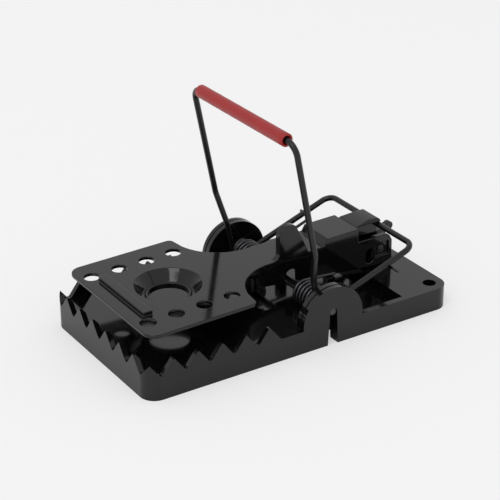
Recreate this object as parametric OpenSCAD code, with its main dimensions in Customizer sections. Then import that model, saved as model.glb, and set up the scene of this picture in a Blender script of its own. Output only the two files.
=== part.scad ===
// Snap mouse trap: moulded base with toothed rim, tilting treadle with a latch hook,
// a double wire bail on one axle and two torsion springs.
// Millimetres. +X points to the rear, +Z up; the origin is the centre of the base's underside.

/* [Base tray] */
// Length of the base, front to rear
base_l = 98; // [94:1:110]
// Width of the base over the side lugs
base_w = 52; // [49:1:60]
// Radius of the base's upright corners
corner_r = 4.4; // [3.4:0.2:6]
// Height of the deck
deck_h = 6.7; // [6.3:0.1:9]
// Thickness of the base's outer walls
base_wall = 1.8; // [1.4:0.1:2.2]
// Thickness of the deck
deck_t = 1.6; // [1.2:0.1:2]
// Top of the well's floor above the ground
well_floor = 3.9; // [3.4:0.1:4.2]
// Length of the well that the springs lie in
well_l = 37; // [34:0.5:39]

/* [Teeth] */
// Distance between neighbouring teeth
tooth_pitch = 7.3; // [6.5:0.1:8]
// Height of the teeth above their valleys
tooth_h = 3.9; // [2.8:0.1:4.4]
// Radius at the bottom of each valley
valley_r = 0.8; // [0.5:0.1:1]
// Thickness of the toothed wall
tooth_wall = 1.5; // [1.2:0.1:1.8]
// Extra height of the two front corner teeth
corner_tooth_extra = 0.7; // [0.4:0.1:1.2]

/* [Side lugs and axle] */
// Distance of the axle from the front edge
axle_from_front = 57.5; // [56:0.5:60]
// Height of the axle above the deck
axle_over_deck = 3.2; // [3:0.1:3.8]
// Radius of the axle
axle_r = 1.1; // [0.9:0.05:1.3]
// Radius of the round side lugs
lug_r = 9.7; // [9:0.1:10.5]
// Thickness of the side lugs
lug_t = 3.2; // [2.6:0.1:3.6]
// Width of the assembly slot at the foot of each lug
slot_foot_w = 3.4; // [3:0.1:4.4]

/* [Double bail] */
// Radius of the bail wire
wire_r = 0.85; // [0.7:0.05:0.95]
// Distance from the axle to the strike bar
strike_reach = 52.3; // [50:0.5:54]
// Angle of the set strike bar above the rear horizontal
strike_angle = 103.7; // [100:0.5:108]
// How far each strike leg stands outside its eye at the top
strike_flare = 3.0; // [2:0.1:3.2]
// Bend radius of the strike bar's two corners
strike_bend_r = 3.6; // [3:0.1:5]
// Distance from the axle to the latch bar
latch_reach = 32.6; // [31:0.5:34]
// Angle of the set latch bar above the rear horizontal
latch_angle = 16.3; // [14:0.5:18]
// Bend radius of the latch bar's two corners
latch_bend_r = 3.0; // [2.4:0.1:4]
// Outer radius of the grip sleeve
sleeve_r = 1.85; // [1.6:0.05:2]
// Length of the grip sleeve
sleeve_l = 42; // [36:1:42]

/* [Torsion springs] */
// Radius of the spring wire
spring_wire_r = 0.45; // [0.35:0.05:0.5]
// Radius of the coil to the middle of the wire
coil_r = 3.5; // [3.3:0.1:4]
// Whole turns of the coil before the arms
coil_turns = 4; // [3:1:4]
// Rise of the coil in one turn
coil_pitch = 1.4; // [1.35:0.05:1.6]
// Distance from the axle to the bent end under the latch bail's leg
spring_reach = 23.5; // [20:0.5:25]
// How far the bent end stands out past the leg's middle line
hook_out = 3.6; // [2.4:0.1:4]
// Distance from the axle to the post under the fixed arm
rest_reach = 8.4; // [7.5:0.1:12]

/* [Treadle] */
// Thickness of the treadle plate
plate_t = 1.0; // [0.8:0.1:1.4]
// Length of the wide part of the plate
plate_l = 32.6; // [31:0.2:34]
// Gap between the plate and the toothed wall in front
plate_front_gap = 1.3; // [1:0.1:1.8]
// Gap between the plate and the side walls
plate_side_gap = 1.6; // [1.2:0.1:2.4]
// Radius of the plate's front corners
plate_corner_r = 3.6; // [2.5:0.1:5]
// Radius of the round holes in the plate
plate_hole_r = 2.2; // [1.8:0.1:2.5]
// Distance between neighbouring plate holes
plate_hole_pitch = 8.5; // [7.5:0.1:8.8]
// Distance of the hole rows from the centre line
plate_hole_y = 15.3; // [14.4:0.1:16.5]
// Height of the plate over the pivot
plate_over_pivot = 6.6; // [6.2:0.1:7.2]
// Angle at which the set treadle leans down at the front
treadle_lean = 1.2; // [0:0.1:2]
// Half width of the treadle's arm
arm_half_w = 5.8; // [5.6:0.1:6.2]
// Thickness of the arm's side walls
arm_wall = 1.4; // [1.2:0.1:1.5]
// Height of the raised box on the arm over the plate
box_rise = 2.0; // [1.2:0.1:2.6]
// Height of the finger tab over the plate
tab_h = 9.7; // [8:0.1:11]
// Thickness of the finger tab
tab_t = 2.0; // [1.4:0.1:2.4]
// Height of the cross rib on the plate
rib_h = 1.2; // [0.8:0.1:1.4]

/* [Pivot and catch] */
// Height of the treadle's pivot above the deck
pivot_over_deck = 5.4; // [5.2:0.1:6]
// Radius of the pivot pin
pin_r = 1.0; // [0.8:0.05:1.1]
// Length of the catch's nose past the middle of the latch bar
nose_past = 0.4; // [0.3:0.1:0.8]
// Thickness of the catch's nose
nose_t = 1.1; // [1:0.1:1.6]
// Half width of the catch's head
catch_half_w = 4.3; // [3.8:0.1:4.3]

/* [Bait cup] */
// Radius of the funnel-shaped bait well at the plate
bait_well_r = 9.4; // [9:0.1:9.8]
// Depth of the bait well
bait_well_d = 3.2; // [2.8:0.1:3.4]
// Distance of the bait well's middle from the plate's front edge
bait_from_front = 18.7; // [18:0.1:19.5]
// Radius of the opening through the bait cup
cup_r = 5.5; // [5:0.1:5.6]
// Height of the bait cup's rim above the floor of its well
cup_rise = 0.6; // [0.4:0.1:1]

/* [Fixing holes] */
// Radius of the two fixing holes
fix_r = 1.9; // [1.6:0.05:2.1]
// Distance of the fixing holes from the rear edge
fix_from_rear = 4.3; // [4:0.1:5]
// Distance of the fixing holes from the side edges
fix_from_side = 4.3; // [4:0.1:5]

/* [Hidden] */

$fn = 48;
wire_fn = 20;
eps = 0.01;

// Running and fitting clearances
run_clear = 0.06;
fit_clear = 0.03;
side_clear = 0.15;
eye_gap = 0.05;
catch_clear = 0.12;

front_x = -base_l / 2;
rear_x = base_l / 2;
side_y = base_w / 2;

// Toothed wall
valley_z = deck_h + 0.3;
tip_flat = 0.5;
side_teeth = 5;
first_side_valley = 4.1;
valley_side_x = front_x + first_side_valley;
tooth_end_x = valley_side_x + side_teeth * tooth_pitch;
front_steps = floor((side_y - 4) / tooth_pitch);

// Axle and lugs
axle_x = front_x + axle_from_front;
axle_z = deck_h + axle_over_deck;
lug_z = deck_h + 0.8;
lug_in_y = side_y - lug_t;
well_front_x = axle_x - 12.3;
well_half = side_y - base_wall;
groove_w = 0.45;
groove_d = 0.35;

// Bail: eyes run on the axle, strike legs outside the latch legs
eye_r = axle_r + run_clear + wire_r;
strike_y = lug_in_y - side_clear - wire_r;
latch_y = strike_y - 2 * wire_r - eye_gap;
strike_top_y = strike_y + strike_flare;
strike_len = sqrt(strike_reach * strike_reach - eye_r * eye_r);
strike_leg_angle = strike_angle - asin(eye_r / strike_reach);
latch_len = sqrt(latch_reach * latch_reach - eye_r * eye_r);
latch_leg_angle = latch_angle + asin(eye_r / latch_reach);
flare_start = lug_r - 0.4;
flare_end = flare_start + 9;
// Bends are a hair thicker than the straight wire, and neighbours overlap a little to join
swell = 0.01;
lap = 0.15;
lap_turn = 3;
flat_turn = (540 + latch_leg_angle - strike_leg_angle - 180) / 2;
latch_x = axle_x + latch_reach * cos(latch_angle);
latch_z = axle_z + latch_reach * sin(latch_angle);

// Treadle, drawn level and then leant about its pivot
pivot_x = latch_x;
pivot_z = deck_h + pivot_over_deck;
plate_z = pivot_z + plate_over_pivot;
box_z = plate_z + box_rise;
plate_front_x = front_x + tooth_wall + plate_front_gap;
plate_half_w = side_y - base_wall - plate_side_gap;
plate_rear_x = plate_front_x + plate_l;
bait_x = plate_front_x + bait_from_front;
neck_x = plate_rear_x + 17;
neck_bend_r = 14.4;
neck_bend_at = [plate_rear_x + 14.8, arm_half_w + neck_bend_r];
box_front_x = pivot_x - 19;
box_rear_x = pivot_x - 8.4;
arm_rear_x = pivot_x + 3.6;
arm_low_z = pivot_z - 4.2;
arm_rear_top_z = pivot_z + 4.4;
arm_front_z = plate_z - 5.1;
notch_r = axle_r + 0.9;
notch_z = axle_z + 2.9;
latch_dx = latch_x - pivot_x;
latch_dz = latch_z - pivot_z;
// The latch bar's place as seen in the level treadle
bar_x = pivot_x + latch_dx * cos(treadle_lean) + latch_dz * sin(treadle_lean);
bar_z = pivot_z - latch_dx * sin(treadle_lean) + latch_dz * cos(treadle_lean);
nose_low_z = bar_z + wire_r + catch_clear;
nose_top_z = nose_low_z + nose_t;
stem_rear_x = bar_x - wire_r - catch_clear;
nose_tip_x = bar_x + nose_past;
post_in_y = 1.9;
post_out_y = arm_half_w - arm_wall - 0.3;
post_r = 2.5;
stem_half_w = post_in_y - 0.3;
tail_half_w = 0.9;

// Bait well and the cup that is pushed into its floor from below
bait_low_r = bait_well_r - 2.3;
bait_wall = 1.1;
bait_floor_t = 0.55;
bait_floor_z = plate_z - bait_well_d;
cup_out_r = cup_r + 0.77;
cup_lip_r = cup_out_r + 0.63;
cup_lip_t = 0.6;

// Springs: fixed arm to the rear on its rest, coil, moving arm under the latch leg
coil_out_y = latch_y - wire_r - 0.5 - spring_wire_r;
coil_start = 94;
coil_end = latch_leg_angle - 90 + 360 * (coil_turns + 1);
coil_in_y = coil_out_y - coil_pitch * (coil_end - coil_start) / 360;
rest_x = axle_x + rest_reach;
rest_z = axle_z + coil_r * sin(coil_start) - rest_reach * tan(coil_start - 90) - spring_wire_r;

// Plain shapes -------------------------------------------------------------

module rounded_rect(l, w, r) {
    square([l - 2 * r, w], center = true);
    square([l, w - 2 * r], center = true);
    for (sx = [-1, 1], sy = [-1, 1])
        translate([sx * (l / 2 - r), sy * (w / 2 - r)]) circle(r);
}

// A plate standing in the XZ plane, its middle at y
module upright(y, t) {
    translate([0, y + t / 2, 0]) rotate([90, 0, 0]) linear_extrude(t) children();
}

// A round bar along Y
module cross_bar(x, z, r, l) {
    translate([x, 0, z]) rotate([90, 0, 0]) cylinder(r = r, h = l, center = true);
}

// Puts what is drawn level into the set treadle's lean
module leaning() {
    translate([pivot_x, 0, pivot_z]) rotate([0, -treadle_lean, 0])
        translate([-pivot_x, 0, -pivot_z]) children();
}

// Base tray ----------------------------------------------------------------

// V-shaped valley with a round bottom, its foot at the origin
module valley() {
    half = (tooth_pitch - tip_flat) / 2;
    rise = tooth_h - valley_r;
    span = sqrt(half * half + rise * rise);
    lean = atan2(half, rise) - asin(valley_r / span);
    top = tooth_h + 2;
    top_half = half + 2 * tan(lean);
    foot = [valley_r * cos(lean), valley_r - valley_r * sin(lean)];
    translate([0, valley_r]) circle(valley_r);
    polygon([[-foot[0], foot[1]], [-top_half, top], [top_half, top], [foot[0], foot[1]]]);
}

module tooth_ring() {
    difference() {
        union() {
            linear_extrude(valley_z + tooth_h) rounded_rect(base_l, base_w, corner_r);
            for (s = [-1, 1])
                translate([front_x + corner_r, s * (side_y - corner_r), 0])
                    cylinder(r = corner_r, h = valley_z + tooth_h + corner_tooth_extra);
        }
        translate([0, 0, -1]) linear_extrude(valley_z + tooth_h + 5)
            rounded_rect(base_l - 2 * tooth_wall, base_w - 2 * tooth_wall, corner_r - tooth_wall);
        translate([tooth_end_x, -base_w, -1]) cube([base_l, 2 * base_w, 30]);
        translate([-base_l, -base_w, -1]) cube([2 * base_l, 2 * base_w, 2]);
        // Valleys of the front wall
        for (i = [-front_steps : front_steps])
            translate([front_x - 1, i * tooth_pitch, valley_z])
                rotate([90, 0, 90]) linear_extrude(tooth_wall + 2) valley();
        // Valleys of both side walls
        for (i = [0 : side_teeth])
            translate([valley_side_x + i * tooth_pitch, base_w, valley_z])
                rotate([90, 0, 0]) linear_extrude(2 * base_w) valley();
    }
}

module base_shell() {
    difference() {
        linear_extrude(deck_h) rounded_rect(base_l, base_w, corner_r);
        // Hollow underside, round the well and its walls
        difference() {
            translate([0, 0, -1]) linear_extrude(deck_h - deck_t + 1)
                rounded_rect(base_l - 2 * base_wall, base_w - 2 * base_wall, corner_r - base_wall);
            translate([well_front_x - base_wall, -base_w, -2])
                cube([well_l + 2 * base_wall, 2 * base_w, 20]);
        }
        // Space under the well's floor
        translate([well_front_x, -well_half + base_wall, -1])
            cube([well_l, 2 * (well_half - base_wall), 1 + well_floor - deck_t]);
        // The well
        translate([well_front_x, -well_half, well_floor]) cube([well_l, 2 * well_half, 20]);
    }
}

module side_lug(s) {
    difference() {
        translate([axle_x, s * (side_y - lug_t / 2), lug_z]) rotate([90, 0, 0])
            cylinder(r = lug_r, h = lug_t, center = true, $fn = 96);
        translate([-base_l, -base_w, -20]) cube([2 * base_l, 2 * base_w, 20]);
        // Groove round the top of the lug
        difference() {
            translate([axle_x, s * (side_y - 1.5), lug_z]) rotate([90, 0, 0])
                cylinder(r = lug_r + 1, h = groove_w, center = true, $fn = 96);
            translate([axle_x, s * (side_y - 1.5), lug_z]) rotate([90, 0, 0])
                cylinder(r = lug_r - groove_d, h = 3, center = true, $fn = 96);
            translate([-base_l, -base_w, -10]) cube([2 * base_l, 2 * base_w, 10 + deck_h + 0.2]);
        }
    }
}

// Slot that the axle is pushed up through from below
module axle_slot(s) {
    upright(s * (side_y - lug_t / 2), lug_t + 1)
        polygon([[axle_x - slot_foot_w / 2, -1], [axle_x - axle_r - fit_clear, axle_z],
                 [axle_x + axle_r + fit_clear, axle_z], [axle_x + slot_foot_w / 2, -1]]);
}

module pivot_post(s) {
    y = s * (post_in_y + post_out_y) / 2;
    t = post_out_y - post_in_y;
    upright(y, t) {
        translate([pivot_x, pivot_z]) circle(post_r);
        translate([pivot_x - post_r, deck_h - deck_t]) square([2 * post_r, pivot_z - deck_h + deck_t]);
        polygon([[pivot_x - post_r - 2, deck_h - 1], [pivot_x - post_r, deck_h + 3],
                 [pivot_x + post_r, deck_h + 3], [pivot_x + post_r + 2, deck_h - 1]]);
    }
}

// Post that the fixed arm of a spring bears on
module spring_rest(s) {
    translate([rest_x - 1.2, s * coil_in_y - 1.3, well_floor - 1])
        cube([2.4, 2.6, rest_z - fit_clear - well_floor + 1]);
}

module underside_ribs() {
    rib_t = 1.2;
    rib_low = 0.8;
    translate([front_x + 22, -side_y + 1, rib_low]) cube([rib_t, base_w - 2, deck_h - 1 - rib_low]);
    translate([front_x + 1, -rib_t / 2, rib_low])
        cube([well_front_x - front_x - 1, rib_t, deck_h - 1 - rib_low]);
}

module base_tray() {
    color([0.06, 0.06, 0.065]) difference() {
        union() {
            base_shell();
            tooth_ring();
            for (s = [-1, 1]) {
                side_lug(s);
                pivot_post(s);
                spring_rest(s);
                translate([rear_x - fix_from_rear, s * (side_y - fix_from_side), 0])
                    cylinder(r = fix_r + 1.5, h = deck_h - eps);
            }
            underside_ribs();
        }
        cross_bar(axle_x, axle_z, axle_r + fit_clear, 2 * base_w);
        for (s = [-1, 1]) {
            axle_slot(s);
            translate([rear_x - fix_from_rear, s * (side_y - fix_from_side), -1])
                cylinder(r = fix_r, h = deck_h + 2);
        }
        cross_bar(pivot_x, pivot_z, pin_r + fit_clear, 2 * post_out_y + 2);
    }
}

module axle() {
    color([0.3, 0.3, 0.31]) cross_bar(axle_x, axle_z, axle_r, base_w - 0.6);
}

module pivot_pin() {
    color([0.6, 0.6, 0.61]) cross_bar(pivot_x, pivot_z, pin_r, 2 * arm_half_w - 1.0);
}

// Double bail --------------------------------------------------------------

// Part of a ring of wire about Z, from the X axis on, r from the middle and grown by extra
module ring_arc(turn, r, extra) {
    rotate_extrude(angle = turn, $fn = 40) translate([r, 0]) circle(wire_r + extra, $fn = wire_fn);
}

// Round wire drawn along +X; each step is a straight length, then a turn to the left and its bend radius
module wire_run(steps, i = 0) {
    length = steps[i][0];
    turn = steps[i][1];
    bend = steps[i][2];
    translate([-lap, 0, 0]) rotate([0, 90, 0]) cylinder(r = wire_r, h = length + 2 * lap, $fn = wire_fn);
    if (i < len(steps) - 1)
        translate([length, sign(turn) * bend, 0]) {
            rotate([0, 0, turn > 0 ? -90 : 90 + turn]) ring_arc(abs(turn), bend, swell);
            rotate([0, 0, turn]) translate([0, -sign(turn) * bend, 0]) wire_run(steps, i + 1);
        }
}

// Places a bail's plane: X runs up the leg, offset carries the leg off the axle's middle
module bail_plane(angle, offset, y) {
    translate([axle_x, 0, axle_z]) rotate([0, -angle, 0]) translate([0, y, offset]) children();
}

// The wire's winding round the axle: a flat arc from each leg and a slanting half turn between them
module eye(s) {
    slant_start = strike_leg_angle + 90 + flat_turn;
    slant = s * atan2((strike_y - latch_y) / 2, eye_r);
    translate([axle_x, 0, axle_z]) rotate([90, 0, 0]) {
        translate([0, 0, -s * strike_y]) rotate([0, 0, strike_leg_angle + 90])
            ring_arc(flat_turn + lap_turn, eye_r, swell);
        translate([0, 0, -s * (strike_y + latch_y) / 2]) rotate([0, 0, slant_start + 90])
            rotate([slant, 0, 0]) rotate([0, 0, -90]) ring_arc(180, eye_r / cos(slant), 2 * swell);
        translate([0, 0, -s * latch_y]) rotate([0, 0, slant_start + 180 - lap_turn])
            ring_arc(flat_turn + lap_turn, eye_r, swell);
    }
}

module double_bail() {
    flare_angle = atan2(strike_flare, flare_end - flare_start);
    flare_bend = 5;
    give = flare_bend * tan(flare_angle / 2);
    lower = flare_start - give;
    slant = strike_flare / sin(flare_angle) - 2 * give;
    upper = strike_len - flare_end - give - strike_bend_r;
    strike_bar = 2 * (strike_top_y - strike_bend_r);
    latch_leg = latch_len - latch_bend_r;
    latch_bar = 2 * (latch_y - latch_bend_r);
    color([0.07, 0.07, 0.075]) {
        bail_plane(strike_leg_angle, eye_r, -strike_y)
            wire_run([
                [lower, -flare_angle, flare_bend], [slant, flare_angle, flare_bend],
                [upper, 90, strike_bend_r], [strike_bar, 90, strike_bend_r],
                [upper, flare_angle, flare_bend], [slant, -flare_angle, flare_bend], [lower, 0, 0]]);
        bail_plane(latch_leg_angle, -eye_r, -latch_y)
            wire_run([[latch_leg, 90, latch_bend_r], [latch_bar, 90, latch_bend_r], [latch_leg, 0, 0]]);
        for (s = [-1, 1]) eye(s);
    }
}

module grip_sleeve() {
    x = axle_x + strike_reach * cos(strike_angle);
    z = axle_z + strike_reach * sin(strike_angle);
    color([0.72, 0.12, 0.12]) difference() {
        cross_bar(x, z, sleeve_r, sleeve_l);
        cross_bar(x, z, wire_r + fit_clear, sleeve_l + 2);
    }
}

// Torsion springs ----------------------------------------------------------

// Middle line of the right-hand spring's wire, from the fixed arm's end to the hook's tip
coil_steps = round((coil_end - coil_start) / 45);
function coil_point(i) =
    let (a = coil_start + (coil_end - coil_start) * i / coil_steps)
    [axle_x + coil_r * cos(a), coil_in_y + (coil_out_y - coil_in_y) * i / coil_steps,
     axle_z + coil_r * sin(a)];
// A point u along the latch leg and v over its middle line
function on_leg(u, v, y) =
    [axle_x + u * cos(latch_leg_angle) + (eye_r - v) * sin(latch_leg_angle), y,
     axle_z + u * sin(latch_leg_angle) - (eye_r - v) * cos(latch_leg_angle)];
// The moving arm runs this far under the leg's middle line
under_leg = wire_r + spring_wire_r + 0.1;
arm_points = [
    [rest_x + 1.8, coil_in_y, rest_z + spring_wire_r - 1.8 * tan(coil_start - 90)]
];
// Bend of the moving arm's end, which points out sideways under the leg
hook_points = [
    on_leg(spring_reach - 8, -under_leg, coil_out_y),
    on_leg(spring_reach - 1.3, -under_leg, coil_out_y + 0.1),
    on_leg(spring_reach - 0.5, -under_leg, coil_out_y + 0.5),
    on_leg(spring_reach - 0.1, -under_leg, coil_out_y + 1.3),
    on_leg(spring_reach + 0.1, -under_leg, latch_y + hook_out)
];
coil_line = [for (i = [0 : coil_steps]) coil_point(i)];
spring_path = concat(arm_points, coil_line, hook_points);

// Least distance between turns that aren't neighbours along the wire, less the wire itself
coil_gap = min([for (i = [0 : coil_steps - 6]) for (j = [i + 6 : coil_steps])
    norm(coil_line[i] - coil_line[j])]) - 2 * spring_wire_r;
echo(least_gap_in_coil = coil_gap);

function unit(v) = v / norm(v);
function heading(p, i) = unit(p[min(i + 1, len(p) - 1)] - p[max(i - 1, 0)]);

// A tube of six sides along a line of points
module wire_tube(p, r) {
    n = 6;
    rings = [for (i = [0 : len(p) - 1])
        let (t = heading(p, i), a = unit(cross(t, [0, 1, 0])), b = cross(t, a))
        for (k = [0 : n - 1]) p[i] + r * cos(360 * k / n) * a + r * sin(360 * k / n) * b];
    last = (len(p) - 1) * n;
    sides = [for (i = [0 : len(p) - 2]) for (k = [0 : n - 1])
        let (q = (k + 1) % n)
        each [[i * n + k, i * n + q, (i + 1) * n + q], [i * n + k, (i + 1) * n + q, (i + 1) * n + k]]];
    ends = [for (k = [1 : n - 2]) each [[0, k + 1, k], [last, last + k, last + k + 1]]];
    polyhedron(rings, concat(sides, ends));
}

module spring(s) {
    color([0.25, 0.25, 0.26]) mirror([0, s, 0]) wire_tube(spring_path, spring_wire_r);
}

module left_spring() {
    spring(0);
}

module right_spring() {
    spring(1);
}

// Treadle ------------------------------------------------------------------

// Points on an arc from angle a to angle b
function arc(c, r, a, b, n) =
    [for (i = [0 : n]) let (t = a + (b - a) * i / n) c + r * [cos(t), sin(t)]];

// Half of the plate's outline, from the neck round to the front edge's middle
function half_plate() = concat(
    [[neck_x, 0], [neck_x, arm_half_w]],
    arc(neck_bend_at, neck_bend_r, -90, -168, 13),
    arc([plate_rear_x - 1.3, plate_half_w - 1.6], 1.6, 12, 90, 6),
    arc([plate_front_x + plate_corner_r, plate_half_w - plate_corner_r], plate_corner_r, 90, 180, 8),
    [[plate_front_x, 0]]
);

module plate_outline() {
    polygon(half_plate());
    mirror([0, 1]) polygon(half_plate());
}

module treadle_plate() {
    difference() {
        union() {
            translate([0, 0, plate_z - plate_t]) linear_extrude(plate_t) difference() {
                plate_outline();
                for (i = [0 : 3], s = [-1, 1])
                    translate([plate_front_x + 3.8 + i * plate_hole_pitch, s * plate_hole_y])
                        circle(plate_hole_r);
            }
            bait_well_body();
        }
        bait_well_space();
    }
    // Cross rib near the front edge
    translate([plate_front_x + 4.2, -12.2, plate_z - eps]) cube([2.8, 24.4, rib_h + eps]);
}

// Funnel under the plate, with a flat ring for a floor
module bait_well_body() {
    low_z = bait_floor_z - bait_floor_t;
    translate([bait_x, 0, 0]) rotate_extrude() polygon([
        [0, plate_z - 0.3], [bait_well_r + bait_wall, plate_z - 0.3],
        [bait_well_r + bait_wall, plate_z - plate_t - 0.2], [bait_low_r + bait_wall, low_z + 0.4],
        [bait_low_r + bait_wall - 0.4, low_z], [0, low_z]]);
}

module bait_well_space() {
    slope = (bait_well_r - bait_low_r) / bait_well_d;
    translate([bait_x, 0, 0]) rotate_extrude() polygon([
        [0, plate_z + 1], [bait_well_r + slope, plate_z + 1], [bait_low_r, bait_floor_z],
        [cup_out_r + fit_clear, bait_floor_z], [cup_out_r + fit_clear, bait_floor_z - 2],
        [0, bait_floor_z - 2]]);
}

// Side view of the arm's walls: their lower edge slopes all the way, with a notch over the axle
module arm_side() {
    difference() {
        polygon([
            [plate_rear_x, plate_z - plate_t / 2], [plate_rear_x, arm_front_z], [box_rear_x, arm_low_z],
            [arm_rear_x, arm_low_z], [arm_rear_x, arm_rear_top_z - 2.4],
            [arm_rear_x - 0.8, arm_rear_top_z - 0.8], [arm_rear_x - 2.4, arm_rear_top_z],
            [box_rear_x, arm_rear_top_z], [box_rear_x, box_z], [box_front_x, box_z],
            [box_front_x - 1.2, plate_z], [neck_x - 12, plate_z], [neck_x - 12, plate_z - plate_t / 2]]);
        translate([axle_x, notch_z]) circle(notch_r);
        translate([axle_x - notch_r, arm_low_z - 1]) square([2 * notch_r, notch_z - arm_low_z + 1]);
    }
}

// Plan of one wall: straight along the arm, then curved under the neck's concave edge
module wall_plan() {
    polygon(concat(
        [[arm_rear_x + 1, arm_half_w - arm_wall], [arm_rear_x + 1, arm_half_w]],
        arc(neck_bend_at, neck_bend_r, -90, -162, 12),
        arc(neck_bend_at, neck_bend_r + arm_wall, -162, -90, 12)));
}

module arm_walls() {
    for (s = [0, 1])
        mirror([0, s, 0]) difference() {
            intersection() {
                linear_extrude(box_z + 1) wall_plan();
                upright(0, base_w) difference() {
                    arm_side();
                    // Upright slot with round ends ahead of the pivot
                    translate([pivot_x - 4.3, pivot_z - 1.1]) square([2.8, 1.8], center = true);
                    for (dz = [-2, -0.2]) translate([pivot_x - 4.3, pivot_z + dz]) circle(1.4);
                }
            }
            // Square pocket round the pin's end
            translate([pivot_x, arm_half_w, pivot_z]) cube([4.6, 1.2, 4.2], center = true);
        }
}

module arm_box() {
    y = arm_half_w - arm_wall / 2;
    upright(0, 2 * y) {
        // Raised roof with its sloping front and its rear wall
        polygon([
            [box_front_x - 1.2, plate_z], [box_front_x, box_z], [box_rear_x, box_z],
            [box_rear_x, pivot_z - 1], [box_rear_x - 1.3, pivot_z - 1], [box_rear_x - 1.3, box_z - 1.4],
            [box_front_x + 1, box_z - 1.4], [box_front_x, plate_z - plate_t],
            [box_front_x - 1.2, plate_z - plate_t]]);
        // Roof of the neck between the plate and the box
        translate([neck_x - 1, plate_z - plate_t]) square([box_front_x - neck_x, plate_t]);
    }
}

module finger_tab() {
    x = axle_x - 3.85;
    top = plate_z + tab_h;
    bend = 3.4;
    upright(-arm_half_w + tab_t / 2, tab_t)
        polygon(concat(
            [[x - 2, plate_z - 0.9]], arc([x - 2, plate_z + 2], 2, -90, 0, 4),
            arc([x + bend, top - bend], bend, 180, 50, 10),
            [[x + 9.2, plate_z + 1.2], [x + 9.8, plate_z - 0.9]]));
}

// Wide head with hipped edges and the nose over the latch bar
module catch_head() {
    intersection() {
        upright(0, 2 * catch_half_w) polygon([
            [box_rear_x - 1, box_z - 1], [box_rear_x + 0.8, box_z - 0.1],
            [box_rear_x + 5.2, nose_top_z + 0.2], [nose_tip_x - 0.5, nose_top_z],
            [nose_tip_x, nose_top_z - 0.4], [nose_tip_x, nose_low_z], [stem_rear_x, nose_low_z],
            [stem_rear_x, arm_rear_top_z + 0.9], [box_rear_x - 1, arm_rear_top_z + 0.9]]);
        translate([box_rear_x - 2, 0, 0]) rotate([90, 0, 90]) linear_extrude(20) polygon([
            [-catch_half_w, 0], [-catch_half_w, nose_low_z + 0.5], [-catch_half_w + 1.2, nose_top_z + 0.4],
            [catch_half_w - 1.2, nose_top_z + 0.4], [catch_half_w, nose_low_z + 0.5], [catch_half_w, 0]]);
    }
}

// Narrow stem that swings on the pin between the posts, with a round-ended tail behind
module catch_stem() {
    tail_x = arm_rear_x + 2.7;
    tail_z = arm_rear_top_z - 0.8;
    upright(0, 2 * stem_half_w) {
        polygon([
            [box_rear_x - 1, arm_rear_top_z + 1.2], [stem_rear_x, arm_rear_top_z + 1.2],
            [stem_rear_x + 0.4, arm_rear_top_z - 0.6], [arm_rear_x, arm_rear_top_z - 0.6],
            [arm_rear_x, pivot_z], [arm_rear_x - 0.8, pivot_z - 2], [box_rear_x - 1, pivot_z - 1]]);
        translate([pivot_x, pivot_z]) circle(2.6);
    }
    upright(0, 2 * tail_half_w) {
        polygon([
            [arm_rear_x - 1, arm_rear_top_z - 0.7], [tail_x, tail_z + 1.25], [tail_x + 1, tail_z - 0.8],
            [arm_rear_x - 1, pivot_z + 0.5]]);
        translate([tail_x, tail_z]) circle(1.3);
    }
}

module treadle() {
    color([0.06, 0.06, 0.065]) leaning() difference() {
        union() {
            treadle_plate();
            arm_walls();
            arm_box();
            finger_tab();
            catch_head();
            catch_stem();
        }
        cross_bar(pivot_x, pivot_z, pin_r + run_clear, 4 * arm_half_w);
    }
}

module bait_cup() {
    lip_z = bait_floor_z - bait_floor_t - fit_clear;
    low_z = lip_z - cup_lip_t;
    top_z = bait_floor_z + cup_rise;
    color([0.06, 0.06, 0.065]) leaning() translate([bait_x, 0, 0]) rotate_extrude() polygon([
        [cup_r + 0.2, low_z], [cup_lip_r, low_z], [cup_lip_r, lip_z], [cup_out_r, lip_z],
        [cup_out_r, top_z - 0.2], [cup_out_r - 0.2, top_z], [cup_r + 0.2, top_z], [cup_r, top_z - 0.2],
        [cup_r, low_z + 0.2]]);
}

base_tray();
axle();
double_bail();
grip_sleeve();
left_spring();
right_spring();
treadle();
bait_cup();
pivot_pin();
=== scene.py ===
"""Dresses the snap mouse trap: glossy black mouldings, satin bail wire, dark springs and a red sleeve."""

import math

import bmesh
import bpy
from mathutils import Matrix, Vector


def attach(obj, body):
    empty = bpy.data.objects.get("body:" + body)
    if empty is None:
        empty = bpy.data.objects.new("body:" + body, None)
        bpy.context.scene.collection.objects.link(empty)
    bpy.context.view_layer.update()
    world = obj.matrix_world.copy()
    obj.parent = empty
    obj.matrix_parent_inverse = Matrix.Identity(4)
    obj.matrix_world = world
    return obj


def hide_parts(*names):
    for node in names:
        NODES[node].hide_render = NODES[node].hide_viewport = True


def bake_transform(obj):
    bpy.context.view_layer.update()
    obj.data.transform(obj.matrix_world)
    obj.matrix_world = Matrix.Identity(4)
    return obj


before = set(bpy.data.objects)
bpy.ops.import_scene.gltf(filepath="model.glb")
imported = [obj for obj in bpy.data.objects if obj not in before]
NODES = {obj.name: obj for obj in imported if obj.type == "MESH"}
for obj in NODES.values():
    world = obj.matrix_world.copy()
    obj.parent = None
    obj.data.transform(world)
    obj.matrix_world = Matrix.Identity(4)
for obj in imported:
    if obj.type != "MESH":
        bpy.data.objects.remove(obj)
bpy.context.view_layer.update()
MM = 0.001

# ---------------------------------------------------------------- sizes in millimetres, angles in degrees

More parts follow.
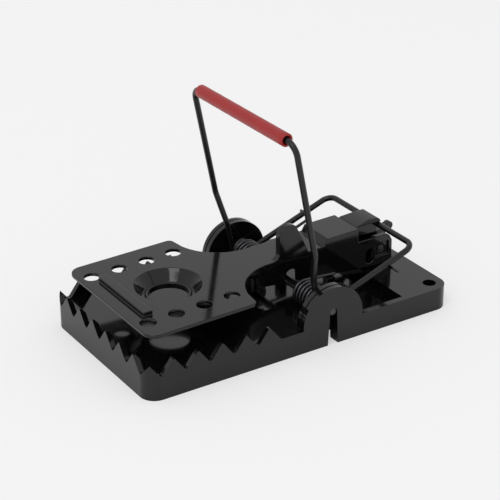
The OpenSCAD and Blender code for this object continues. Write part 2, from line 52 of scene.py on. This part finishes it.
AXLE_X, AXLE_Z = 8.5, 9.9                    # middle of the axle
AXLE_R = 1.1
WIRE_R = 0.85                                # bail wire
AXLE_CLEARANCE = 0.06                        # between the axle and the wire wound round it
EYE_R = AXLE_R + AXLE_CLEARANCE + WIRE_R     # axle's middle to the wire's middle in the winding
STRIKE_Y, LATCH_Y = 21.8, 20.05              # where the strike and latch legs leave the winding
STRIKE_REACH, STRIKE_ANGLE = 52.3, 103.7     # from the axle to the middle of the strike bar
STRIKE_FLARE, FLARE_START, FLARE_END = 3.0, 9.3, 18.3
LATCH_REACH, LATCH_ANGLE = 32.6, 16.3        # from the axle to the middle of the latch bar
STRIKE_BEND, LATCH_BEND, FLARE_BEND = 3.6, 3.0, 5.0
WINDING_STEP = 9                             # degrees between the points of the winding
SLEEVE_R, SLEEVE_L = 1.85, 42.0
SPRING_WIRE_R, COIL_R, COIL_PITCH = 0.45, 3.5, 1.4
COIL_TURNS, COIL_START, COIL_STEP = 4, 94.0, 15
COIL_GAP, ARM_GAP = 0.5, 0.1                 # between the latch leg and the coil, and the moving arm
SPRING_REACH = 23.5                          # along the leg to the end of the moving arm
UNDER_LEG = WIRE_R + SPRING_WIRE_R + ARM_GAP     # the moving arm under the leg's middle line
HOOK_OUT, HOOK_BEND, HOOK_LEAN = 3.6, 1.0, 0.1   # bent end of the moving arm past the leg's middle line
SPRING_REST_X = AXLE_X + 8.4                 # where the fixed arm lies on the tray
PAST_REST, BEFORE_REST = 1.8, 5              # the fixed arm's two points, from there
DOME_RIM, DOME_RISE = 0.72, 0.3              # domed end of a wire, as shares of its radius
LEDGE_FRONT, LEDGE_REAR = -4.2, 3.6          # deck ledges beside the treadle's neck
LEDGE_Y, LEDGE_HALF_W = 17.3, 7.0
LEDGE_FOOT, DECK_Z = 3.6, 6.7
FLOOR_SIZE = 4000.0

# How the mouldings' meshes are cleaned, eased and shaded
WELD = 0.002                                 # corners closer than this are one
FLAT_WITHIN = 0.6                            # faces that turn by less are one flat
EASED_FROM = 28                              # edges that turn by more get a radius
SMOOTH_WITHIN = 32                           # faces that turn by less shade as one surface


# ---------------------------------------------------------------- small helpers

def linear(hex_colour):
    """An sRGB hex colour as linear RGBA."""
    parts = [int(hex_colour[i:i + 2], 16) / 255 for i in (1, 3, 5)]
    return tuple(c / 12.92 if c <= 0.04045 else ((c + 0.055) / 1.055) ** 2.4 for c in parts) + (1.0,)


def add(tree, kind, inputs=None, **settings):
    """Adds a node, with its settings, and its inputs as values or links."""
    node = tree.nodes.new(kind)
    for name, value in settings.items():
        setattr(node, name, value)
    for name, value in (inputs or {}).items():
        if isinstance(value, bpy.types.NodeSocket):
            tree.links.new(value, node.inputs[name])
        else:
            node.inputs[name].default_value = value
    return node


def on_circle(angle, radius, y):
    """A point round the axle: angle in degrees from the rear, counted upwards."""
    a = math.radians(angle)
    return Vector((AXLE_X + radius * math.cos(a), y, AXLE_Z + radius * math.sin(a)))


def mesh_object(name, build):
    """An object whose mesh build(bm) fills in millimetres."""
    bm = bmesh.new()
    build(bm)
    bmesh.ops.recalc_face_normals(bm, faces=bm.faces)
    bmesh.ops.scale(bm, vec=(MM, MM, MM), verts=bm.verts)
    mesh = bpy.data.meshes.new(name)
    bm.to_mesh(mesh)
    bm.free()
    obj = bpy.data.objects.new(name, mesh)
    bpy.context.scene.collection.objects.link(obj)
    return obj


def smooth_by_angle(obj, degrees):
    """Smooth faces, with an edge kept sharp where its faces turn by more than the angle."""
    bm = bmesh.new()
    bm.from_mesh(obj.data)
    for face in bm.faces:
        face.smooth = True
    for edge in bm.edges:
        edge.smooth = len(edge.link_faces) == 2 and edge.calc_face_angle(0) < math.radians(degrees)
    bm.to_mesh(obj.data)
    bm.free()


def apply_modifiers(obj):
    """Turns what the modifiers make into the object's own mesh."""
    mesh = bpy.data.meshes.new_from_object(obj.evaluated_get(bpy.context.evaluated_depsgraph_get()))
    obj.modifiers.clear()
    obj.data = mesh


def block(low, high):
    """A loose box, in millimetres, to join to a moulding."""
    middle, size = (Vector(low) + Vector(high)) / 2, Vector(high) - Vector(low)
    return mesh_object("block", lambda bm: bmesh.ops.create_cube(
        bm, size=1.0, matrix=Matrix.LocRotScale(middle, None, size)))


def join_flats(mesh, weld=0.0):
    """One face for each flat, in place of the triangles that it came in."""
    bm = bmesh.new()
    bm.from_mesh(mesh)
    if weld:
        bmesh.ops.remove_doubles(bm, verts=bm.verts, dist=weld * MM)
    bmesh.ops.dissolve_limit(bm, angle_limit=math.radians(FLAT_WITHIN), verts=bm.verts, edges=bm.edges)
    bm.to_mesh(mesh)
    bm.free()


def eased_moulding(node, name, radius, joined=(), clamp=True):
    """The CAD node's solid, with what is joined to it, and the small edge radii that a mould leaves.

    The clamp keeps the radii from overlapping: on the tray's close-set teeth it holds them to about 0.03 mm.
    """
    mesh = NODES[node].data.copy()
    obj = bpy.data.objects.new(name, mesh)
    bpy.context.scene.collection.objects.link(obj)
    mesh.materials.clear()
    join_flats(mesh, weld=WELD)
    for piece in joined:
        union = obj.modifiers.new("joined", "BOOLEAN")
        union.operation = "UNION"
        union.solver = "EXACT"
        union.object = piece
        apply_modifiers(obj)
        bpy.data.objects.remove(piece)
    if joined:
        join_flats(obj.data)
    bevel = obj.modifiers.new("edge radius", "BEVEL")
    bevel.width = radius * MM
    bevel.segments = 3
    bevel.limit_method = "ANGLE"
    bevel.angle_limit = math.radians(EASED_FROM)
    bevel.use_clamp_overlap = clamp
    bevel.miter_outer = "MITER_ARC"
    apply_modifiers(obj)
    smooth_by_angle(obj, SMOOTH_WITHIN)
    weighted = obj.modifiers.new("face weighted normals", "WEIGHTED_NORMAL")
    weighted.weight = 100
    weighted.keep_sharp = True
    apply_modifiers(obj)
    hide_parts(node)
    return obj


def rounded_corners(corners, radii, steps=10):
    """The points of a line that runs through corners, each rounded by its radius."""
    points = [corners[0]]
    for before, at, after, radius in zip(corners, corners[1:], corners[2:], radii):
        u, v = (before - at).normalized(), (after - at).normalized()
        half = u.angle(v) / 2
        middle = at + (u + v).normalized() * radius / math.sin(half)
        a, b = at + u * radius / math.tan(half) - middle, at + v * radius / math.tan(half) - middle
        points += [middle + a.slerp(b, i / steps) * radius for i in range(steps + 1)]
    return points + [corners[-1]]


def tube(bm, points, radius, sides=14, closed=False):
    """A round wire along the points, with slightly domed ends where it is open."""
    count = len(points)
    headings = []
    for i in range(count):
        a = points[(i - 1) % count] if closed or i > 0 else points[0]
        b = points[(i + 1) % count] if closed or i < count - 1 else points[-1]
        headings.append((b - a).normalized())
    across = headings[0].orthogonal().normalized()
    frames = []
    for heading in headings:
        across = (across - heading * across.dot(heading)).normalized()
        frames.append((across, heading.cross(across)))
    twist = 0.0
    if closed:
        a, b = frames[0]
        last = (across - headings[0] * across.dot(headings[0])).normalized()
        twist = math.atan2(last.dot(b), last.dot(a))
    rings = []
    for i, (point, (a, b)) in enumerate(zip(points, frames)):
        turn = -twist * i / count
        rings.append([
            bm.verts.new(point + radius * (a * math.cos(t) + b * math.sin(t)))
            for t in (turn + 2 * math.pi * k / sides for k in range(sides))])
    pairs = list(zip(rings, rings[1:])) + ([(rings[-1], rings[0])] if closed else [])
    for near, far in pairs:
        for k in range(sides):
            bm.faces.new((near[k], near[(k + 1) % sides], far[(k + 1) % sides], far[k]))
    if not closed:
        for ring, sign, heading, point in ((rings[0], -1, headings[0], points[0]),
                                           (rings[-1], 1, headings[-1], points[-1])):
            dome = [bm.verts.new(point + (v.co - point) * DOME_RIM + heading * sign * radius * DOME_RISE)
                    for v in ring]
            for k in range(sides):
                bm.faces.new((ring[k], ring[(k + 1) % sides], dome[(k + 1) % sides], dome[k]))
            bm.faces.new(dome)


# ---------------------------------------------------------------- materials

def new_material(name):
    """A material, with its empty node tree."""
    material = bpy.data.materials.new(name)
    material.use_nodes = True
    tree = material.node_tree
    tree.nodes.clear()
    return material, tree


def finish_material(tree, shader):
    add(tree, "ShaderNodeOutputMaterial", {"Surface": shader.outputs[0]})


def noise_at(tree, size_mm, detail):
    """Noise whose largest features are about size_mm across."""
    place = add(tree, "ShaderNodeTexCoord")
    return add(tree, "ShaderNodeTexNoise", {
        "Vector": place.outputs["Object"], "Scale": 1 / (size_mm * MM), "Detail": detail})


def moulded_abs():
    """Black ABS from a polished mould: a mirror-like skin, a faint orange peel and a little settled dust."""
    material, tree = new_material("ABS moulded black")
    peel = noise_at(tree, size_mm=2.2, detail=1.0)
    cloud = noise_at(tree, size_mm=9.0, detail=3.0)
    speck = noise_at(tree, size_mm=0.5, detail=1.0)
    dust = add(tree, "ShaderNodeMapRange", {
        "Value": speck.outputs["Fac"], "From Min": 0.73, "From Max": 0.8, "To Min": 0.0, "To Max": 0.4})
    colour = add(tree, "ShaderNodeMix", {
        "Factor": dust.outputs["Result"], "A": linear("#0B0A0C"), "B": linear("#3A383A")}, data_type="RGBA")
    gloss = add(tree, "ShaderNodeMapRange", {
        "Value": cloud.outputs["Fac"], "From Min": 0.3, "From Max": 0.7, "To Min": 0.07, "To Max": 0.12})
    bump = add(tree, "ShaderNodeBump", {
        "Height": peel.outputs["Fac"], "Strength": 0.06, "Distance": 0.02 * MM})
    finish_material(tree, add(tree, "ShaderNodeBsdfPrincipled", {
        "Base Color": colour.outputs["Result"], "Roughness": gloss.outputs["Result"],
        "Normal": bump.outputs["Normal"], "IOR": 1.46}))
    return material


def coated_wire():
    """Drawn steel wire with a thin satin black coating: soft highlights along it, faint drawing marks."""
    material, tree = new_material("steel wire black coated")
    mark = noise_at(tree, size_mm=1.2, detail=4.0)
    colour = add(tree, "ShaderNodeMix", {
        "Factor": mark.outputs["Fac"], "A": linear("#070708"), "B": linear("#100F10")}, data_type="RGBA")
    gloss = add(tree, "ShaderNodeMapRange", {
        "Value": mark.outputs["Fac"], "From Min": 0.3, "From Max": 0.7, "To Min": 0.26, "To Max": 0.4})
    bump = add(tree, "ShaderNodeBump", {
        "Height": mark.outputs["Fac"], "Strength": 0.2, "Distance": 0.01 * MM})
    finish_material(tree, add(tree, "ShaderNodeBsdfPrincipled", {
        "Base Color": colour.outputs["Result"], "Roughness": gloss.outputs["Result"],
        "Normal": bump.outputs["Normal"], "IOR": 1.46}))
    return material


def spring_steel():
    """Hard-drawn spring wire, blackened and oiled: a dark metal with a low sheen."""
    material, tree = new_material("spring steel oiled dark")
    mark = noise_at(tree, size_mm=0.8, detail=4.0)
    colour = add(tree, "ShaderNodeMix", {
        "Factor": mark.outputs["Fac"], "A": linear("#3A393B"), "B": linear("#58575A")}, data_type="RGBA")
    gloss = add(tree, "ShaderNodeMapRange", {
        "Value": mark.outputs["Fac"], "From Min": 0.3, "From Max": 0.7, "To Min": 0.28, "To Max": 0.42})
    finish_material(tree, add(tree, "ShaderNodeBsdfPrincipled", {
        "Base Color": colour.outputs["Result"], "Roughness": gloss.outputs["Result"], "Metallic": 1.0}))
    return material


def drawn_steel():
    """Plain drawn rod, cut to length: grey steel with fine scratches from the die."""
    material, tree = new_material("steel rod drawn plain")
    mark = noise_at(tree, size_mm=0.5, detail=5.0)
    colour = add(tree, "ShaderNodeMix", {
        "Factor": mark.outputs["Fac"], "A": linear("#434244"), "B": linear("#5A595A")}, data_type="RGBA")
    gloss = add(tree, "ShaderNodeMapRange", {
        "Value": mark.outputs["Fac"], "From Min": 0.3, "From Max": 0.7, "To Min": 0.25, "To Max": 0.45})
    finish_material(tree, add(tree, "ShaderNodeBsdfPrincipled", {
        "Base Color": colour.outputs["Result"], "Roughness": gloss.outputs["Result"], "Metallic": 1.0}))
    return material


def soft_pvc():
    """Soft red PVC tube, extruded: a dull even sheen with faint lengthwise drag lines."""
    material, tree = new_material("PVC sleeve red extruded")
    drag_spacing, shortening = 0.35, 0.06    # millimetres across the lines, and how much they are drawn out
    place = add(tree, "ShaderNodeTexCoord")
    stretch = add(tree, "ShaderNodeMapping", {
        "Vector": place.outputs["Object"], "Scale": (1.0, shortening, 1.0)})
    drag = add(tree, "ShaderNodeTexNoise", {
        "Vector": stretch.outputs["Vector"], "Scale": 1 / (drag_spacing * MM), "Detail": 2.0})
    cloud = noise_at(tree, size_mm=6.0, detail=2.0)
    colour = add(tree, "ShaderNodeMix", {
        "Factor": cloud.outputs["Fac"], "A": linear("#930A0C"), "B": linear("#A31113")}, data_type="RGBA")
    bump = add(tree, "ShaderNodeBump", {
        "Height": drag.outputs["Fac"], "Strength": 0.25, "Distance": 0.03 * MM})
    finish_material(tree, add(tree, "ShaderNodeBsdfPrincipled", {
        "Base Color": colour.outputs["Result"], "Roughness": 0.42, "Normal": bump.outputs["Normal"],
        "IOR": 1.53, "Subsurface Weight": 0.08, "Subsurface Scale": 0.6 * MM,
        "Subsurface Radius": (1.0, 0.25, 0.2)}))
    return material


ABS = moulded_abs()
WIRE = coated_wire()
SPRING = spring_steel()
STEEL = drawn_steel()
PVC = soft_pvc()


def dress(obj, material, body):
    """Gives a piece its material, and the body that it rides on."""
    obj.data.materials.clear()
    obj.data.materials.append(material)
    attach(obj, body)


# ---------------------------------------------------------------- mouldings, axle and pin

# The deck runs on to the coils beside the treadle's neck
ledges = [block((LEDGE_FRONT, side * LEDGE_Y - LEDGE_HALF_W, LEDGE_FOOT),
                (LEDGE_REAR, side * LEDGE_Y + LEDGE_HALF_W, DECK_Z)) for side in (-1, 1)]
dress(eased_moulding("base_tray", "tray_moulding", 0.3, joined=ledges), ABS, "tray")
dress(eased_moulding("treadle", "treadle_moulding", 0.2, clamp=False), ABS, "treadle")
dress(eased_moulding("bait_cup", "bait_cup_moulding", 0.2), ABS, "treadle")
dress(eased_moulding("axle", "axle_rod", 0.15), STEEL, "tray")
dress(eased_moulding("pivot_pin", "pivot_pin_rod", 0.15), STEEL, "tray")


# ---------------------------------------------------------------- bail wire

def tangent(reach):
    """Angle between a bail's leg and the line from the axle to its bar."""
    return math.degrees(math.asin(EYE_R / reach))


STRIKE_LEG_ANGLE = STRIKE_ANGLE - tangent(STRIKE_REACH)
LATCH_LEG_ANGLE = LATCH_ANGLE + tangent(LATCH_REACH)


def along_leg(angle, offset, distance, y, lift=0.0):
    """A point on a leg's line: distance up the leg from where it leaves the winding."""
    a = math.radians(angle)
    up, out = Vector((math.cos(a), 0, math.sin(a))), Vector((-math.sin(a), 0, math.cos(a)))
    return Vector((AXLE_X, y, AXLE_Z)) + up * distance + out * (offset + lift)


def winding(side):
    """The wire round the axle, from the strike leg to the latch leg: flat, a slanting half turn, flat."""
    start, end = STRIKE_LEG_ANGLE + 90, LATCH_LEG_ANGLE + (2 * 360 - 90)
    flat = (end - start - 180) / 2
    bulge = math.hypot(EYE_R, (STRIKE_Y - LATCH_Y) / 2) - EYE_R
    points = []
    steps = round((end - start) / WINDING_STEP)
    for i in range(1, steps):
        angle = start + (end - start) * i / steps
        share = min(max((angle - start - flat) / 180, 0), 1)
        y = STRIKE_Y + (LATCH_Y - STRIKE_Y) * (1 - math.cos(math.pi * share)) / 2
        points.append(on_circle(angle, EYE_R + bulge * math.sin(math.pi * share), side * y))
    return points


def bail_line():
    """The closed line of the whole wire: strike leg, bar, leg, winding, latch leg, bar, leg, winding."""
    strike_len = math.sqrt(STRIKE_REACH ** 2 - EYE_R ** 2)
    latch_len = math.sqrt(LATCH_REACH ** 2 - EYE_R ** 2)
    top_y = STRIKE_Y + STRIKE_FLARE
    leg = [(0, STRIKE_Y), (FLARE_START, STRIKE_Y), (FLARE_END, top_y), (strike_len, top_y)]
    strike = [along_leg(STRIKE_LEG_ANGLE, EYE_R, d, -y) for d, y in leg]
    strike += [along_leg(STRIKE_LEG_ANGLE, EYE_R, d, y) for d, y in reversed(leg)]
    bends = [FLARE_BEND, FLARE_BEND, STRIKE_BEND, STRIKE_BEND, FLARE_BEND, FLARE_BEND]
    latch = [along_leg(LATCH_LEG_ANGLE, -EYE_R, d, y)
             for d, y in ((0, LATCH_Y), (latch_len, LATCH_Y), (latch_len, -LATCH_Y), (0, -LATCH_Y))]
    return (rounded_corners(strike, bends) + winding(1)
            + rounded_corners(latch, [LATCH_BEND, LATCH_BEND]) + list(reversed(winding(-1))))


bail = mesh_object("bail_wire", lambda bm: tube(bm, bail_line(), WIRE_R, closed=True))
smooth_by_angle(bail, 60)
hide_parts("double_bail")
dress(bail, WIRE, "striker")


# ---------------------------------------------------------------- grip sleeve

def sleeve(bm):
    """A lathe of the sleeve's section: cut ends, and a bore that is open at first and grips further in."""
    centre = on_circle(STRIKE_ANGLE, STRIKE_REACH, 0)
    half = SLEEVE_L / 2
    grip_bore = WIRE_R + 0.03
    open_bore, draft = 1.22, 0.06
    grip_depth, taper_depth = 4.2, 3.4
    bore_edge_depth, bore_edge_width = 0.12, 0.1
    lip, lip_middle_depth, lip_middle_drop = 0.16, 0.05, 0.06
    wave = 0.02                              # faint unevenness, at every third ring
    end = [(-half + grip_depth, grip_bore), (-half + taper_depth, open_bore - draft),
           (-half + bore_edge_depth, open_bore), (-half, open_bore + bore_edge_width),
           (-half, SLEEVE_R - lip), (-half + lip_middle_depth, SLEEVE_R - lip_middle_drop),
           (-half + lip, SLEEVE_R)]
    profile = list(end)
    steps = 24
    for i in range(1, steps):
        y = -half + lip + (SLEEVE_L - 2 * lip) * i / steps
        profile.append((y, SLEEVE_R - wave * (1 + math.sin(i * 2.1)) * (i % 3 == 0)))
    profile += [(-y, r) for y, r in reversed(end)]
    sides = 40
    rings = [[bm.verts.new(centre + Vector((r * math.cos(t), y, r * math.sin(t))))
              for t in (2 * math.pi * k / sides for k in range(sides))] for y, r in profile]
    for near, far in zip(rings, rings[1:] + rings[:1]):
        for k in range(sides):
            bm.faces.new((near[k], near[(k + 1) % sides], far[(k + 1) % sides], far[k]))


grip = mesh_object("grip_tube", sleeve)
smooth_by_angle(grip, 50)
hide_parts("grip_sleeve")
dress(grip, PVC, "striker")


# ---------------------------------------------------------------- torsion springs

def spring_line(side):
    """Fixed arm, coil, moving arm and its end bent outwards under the latch leg, from inboard to outboard."""
    coil_end = LATCH_LEG_ANGLE - 90 + 360 * (COIL_TURNS + 1)
    out_y = LATCH_Y - WIRE_R - COIL_GAP - SPRING_WIRE_R
    in_y = out_y - COIL_PITCH * (coil_end - COIL_START) / 360
    drop = math.tan(math.radians(COIL_START - 90))
    rest_z = AXLE_Z + COIL_R * math.sin(math.radians(COIL_START)) - (SPRING_REST_X - AXLE_X) * drop
    steps = round((coil_end - COIL_START) / COIL_STEP)

    def on_leg(u, v, y):
        return along_leg(LATCH_LEG_ANGLE, -EYE_R, u, side * y, v)

    points = [Vector((SPRING_REST_X + PAST_REST, side * in_y, rest_z - PAST_REST * drop)),
              Vector((SPRING_REST_X - BEFORE_REST, side * in_y, rest_z + BEFORE_REST * drop))]
    points += [on_circle(COIL_START + (coil_end - COIL_START) * i / steps, COIL_R,
                         side * (in_y + (out_y - in_y) * i / steps)) for i in range(steps + 1)]
    arm = [points[-1], on_leg(SPRING_REACH, -UNDER_LEG, out_y),
           on_leg(SPRING_REACH + HOOK_LEAN, -UNDER_LEG, LATCH_Y + HOOK_OUT)]
    return points[:-1] + rounded_corners(arm, [HOOK_BEND])


for side, name, own in ((-1, "spring_near_wire", "right_spring"), (1, "spring_far_wire", "left_spring")):
    spring = mesh_object(name, lambda bm: tube(bm, spring_line(side), SPRING_WIRE_R, sides=10))
    smooth_by_angle(spring, 60)
    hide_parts(own)
    spring.data.materials.append(SPRING)
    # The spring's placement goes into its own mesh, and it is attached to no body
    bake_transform(spring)


# ---------------------------------------------------------------- floor, light and camera

def plain_floor():
    """Matt white paper. The camera sees it mixed half and half with plain white, so it stays pale."""
    mesh = bpy.data.meshes.new("floor")
    half = FLOOR_SIZE * MM / 2
    corners = [(-half, -half, 0), (half, -half, 0), (half, half, 0), (-half, half, 0)]
    mesh.from_pydata(corners, [], [(0, 1, 2, 3)])
    floor = bpy.data.objects.new("floor", mesh)
    bpy.context.scene.collection.objects.link(floor)
    material, tree = new_material("paper white matt")
    paper = add(tree, "ShaderNodeBsdfDiffuse", {"Color": linear("#F9F9F9")})
    white = add(tree, "ShaderNodeEmission", {"Color": linear("#F5F5F5")})
    path = add(tree, "ShaderNodeLightPath")
    share = add(tree, "ShaderNodeMath", {0: path.outputs["Is Camera Ray"], 1: 0.5}, operation="MULTIPLY")
    finish_material(tree, add(tree, "ShaderNodeMixShader", {
        0: share.outputs[0], 1: paper.outputs[0], 2: white.outputs[0]}))
    mesh.materials.append(material)


def studio_light():
    """Even light from all round, behind a pale backdrop that the camera and the reflections see."""
    world = bpy.data.worlds.new("studio")
    bpy.context.scene.world = world
    world.use_nodes = True
    tree = world.node_tree
    tree.nodes.clear()
    path = add(tree, "ShaderNodeLightPath")
    lighting = add(tree, "ShaderNodeBackground", {"Color": linear("#FFFFFF"), "Strength": 0.75})
    backdrop = add(tree, "ShaderNodeBackground", {"Color": linear("#F5F5F5"), "Strength": 0.85})
    seen = add(tree, "ShaderNodeMath", {0: path.outputs["Is Camera Ray"], 1: path.outputs["Is Glossy Ray"]},
               operation="MAXIMUM")
    both = add(tree, "ShaderNodeMixShader", {
        0: seen.outputs[0], 1: lighting.outputs[0], 2: backdrop.outputs[0]})
    add(tree, "ShaderNodeOutputWorld", {"Surface": both.outputs[0]})


def soft_box(name, place, aim, width, power):
    """A square lamp aimed at a point, in metres and watts."""
    light = bpy.data.lights.new(name, "AREA")
    light.shape = "SQUARE"
    light.size = width
    light.energy = power
    lamp = bpy.data.objects.new(name, light)
    lamp.location = place
    lamp.rotation_euler = (Vector(aim) - Vector(place)).to_track_quat("-Z", "Y").to_euler()
    bpy.context.scene.collection.objects.link(lamp)


CAMERA_AZIMUTH, CAMERA_ELEVATION = -32.93, 26.26
CAMERA_DISTANCE = 453.74 * MM
CAMERA_TARGET = Vector((-2.65, -1.85, 21.46)) * MM
CAMERA_LENS = 119.58


def view_camera():
    """Looks at the target from the azimuth, counted from -Y towards +X, and the elevation."""
    azimuth, elevation = math.radians(CAMERA_AZIMUTH), math.radians(CAMERA_ELEVATION)
    back = Vector((math.sin(azimuth) * math.cos(elevation), -math.cos(azimuth) * math.cos(elevation),
                   math.sin(elevation)))
    data = bpy.data.cameras.new("camera")
    data.lens = CAMERA_LENS
    data.clip_start = 0.01
    camera = bpy.data.objects.new("camera", data)
    camera.location = CAMERA_TARGET + back * CAMERA_DISTANCE
    camera.rotation_euler = back.to_track_quat("Z", "Y").to_euler()
    bpy.context.scene.collection.objects.link(camera)
    bpy.context.scene.camera = camera


plain_floor()
studio_light()
soft_box("key", place=(-1.3, -0.8, 2.2), aim=(0, 0, 0), width=1.4, power=18.0)
view_camera()
bpy.context.scene.view_settings.view_transform = "Standard"
